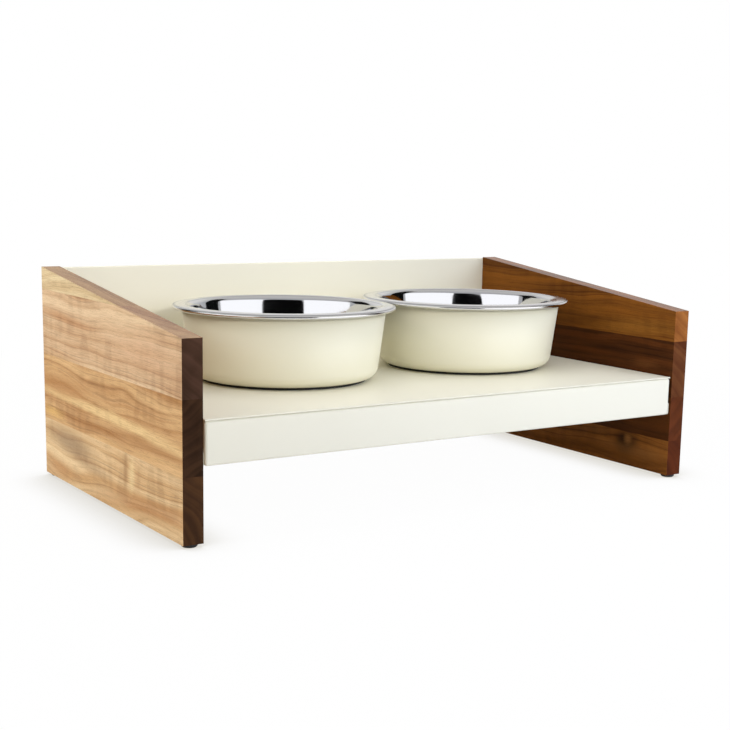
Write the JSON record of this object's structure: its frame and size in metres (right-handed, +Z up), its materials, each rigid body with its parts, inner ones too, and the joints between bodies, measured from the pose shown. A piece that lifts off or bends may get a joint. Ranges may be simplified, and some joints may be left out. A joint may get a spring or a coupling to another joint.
{
  "type": "elevated pet feeder",
  "caption": "Low feeder stand with sloping wooden sides, a cream steel shelf and back, a shallow drawer under the shelf and two wide-rimmed double-wall bowls",
  "frame": {"origin": "on the floor, under the middle of the footprint", "axes": "+X to the feeder's right as seen from the front, +Y from the open front to the back panel, +Z up"},
  "size_m": [0.582, 0.3334, 0.215],
  "materials": {
    "acacia": "oiled, satin",
    "cream_steel": "fine powder coat, satin",
    "polished_stainless": "mirror polished stainless steel",
    "cream_jacket": "smooth enamel, satin",
    "black_rubber": "matte",
    "black_plastic": "moulded, matte",
    "zinc_steel": "zinc plated"
  },
  "bodies": {
    "frame": {"side_left_stave_1": "acacia", "side_left_stave_2": "acacia", "side_left_stave_3": "acacia", "side_left_stave_4": "acacia", "side_right_stave_1": "acacia", "side_right_stave_2": "acacia", "side_right_stave_3": "acacia", "side_right_stave_4": "acacia", "deck": "cream_steel", "deck_stiffener": "cream_steel", "back_panel": "cream_steel", "runner_left": "cream_steel", "runner_right": "cream_steel", "deck_screws": "zinc_steel", "wood_inserts": "zinc_steel", "runner_screws": "zinc_steel", "back_wood_screws": "zinc_steel", "back_deck_screws": "zinc_steel", "clinch_nuts": "zinc_steel", "glide_front_left": "black_plastic", "glide_front_right": "black_plastic", "glide_rear_left": "black_plastic", "glide_rear_right": "black_plastic", "glide_nails": "zinc_steel"},
    "drawer": {"drawer_front": "cream_steel", "drawer_tray": "cream_steel", "drawer_front_nuts": "zinc_steel", "drawer_stop_pins": "zinc_steel"},
    "bowl_left": {"bowl_left_liner": "polished_stainless", "bowl_left_jacket": "cream_jacket", "bowl_left_ring": "black_rubber"},
    "bowl_right": {"bowl_right_liner": "polished_stainless", "bowl_right_jacket": "cream_jacket", "bowl_right_ring": "black_rubber"}
  },
  "joints": [
    {"name": "drawer_slide", "type": "slide", "parent": "frame", "child": "drawer", "axis": [0, -1, 0], "range_m": [0, 0.23]},
    {"name": "bowl_left_lift", "type": "slide", "parent": "frame", "child": "bowl_left", "axis": [0, 0, 1], "range_m": [0, 0.14]},
    {"name": "bowl_right_lift", "type": "slide", "parent": "frame", "child": "bowl_right", "axis": [0, 0, 1], "range_m": [0, 0.14]}
  ]
}
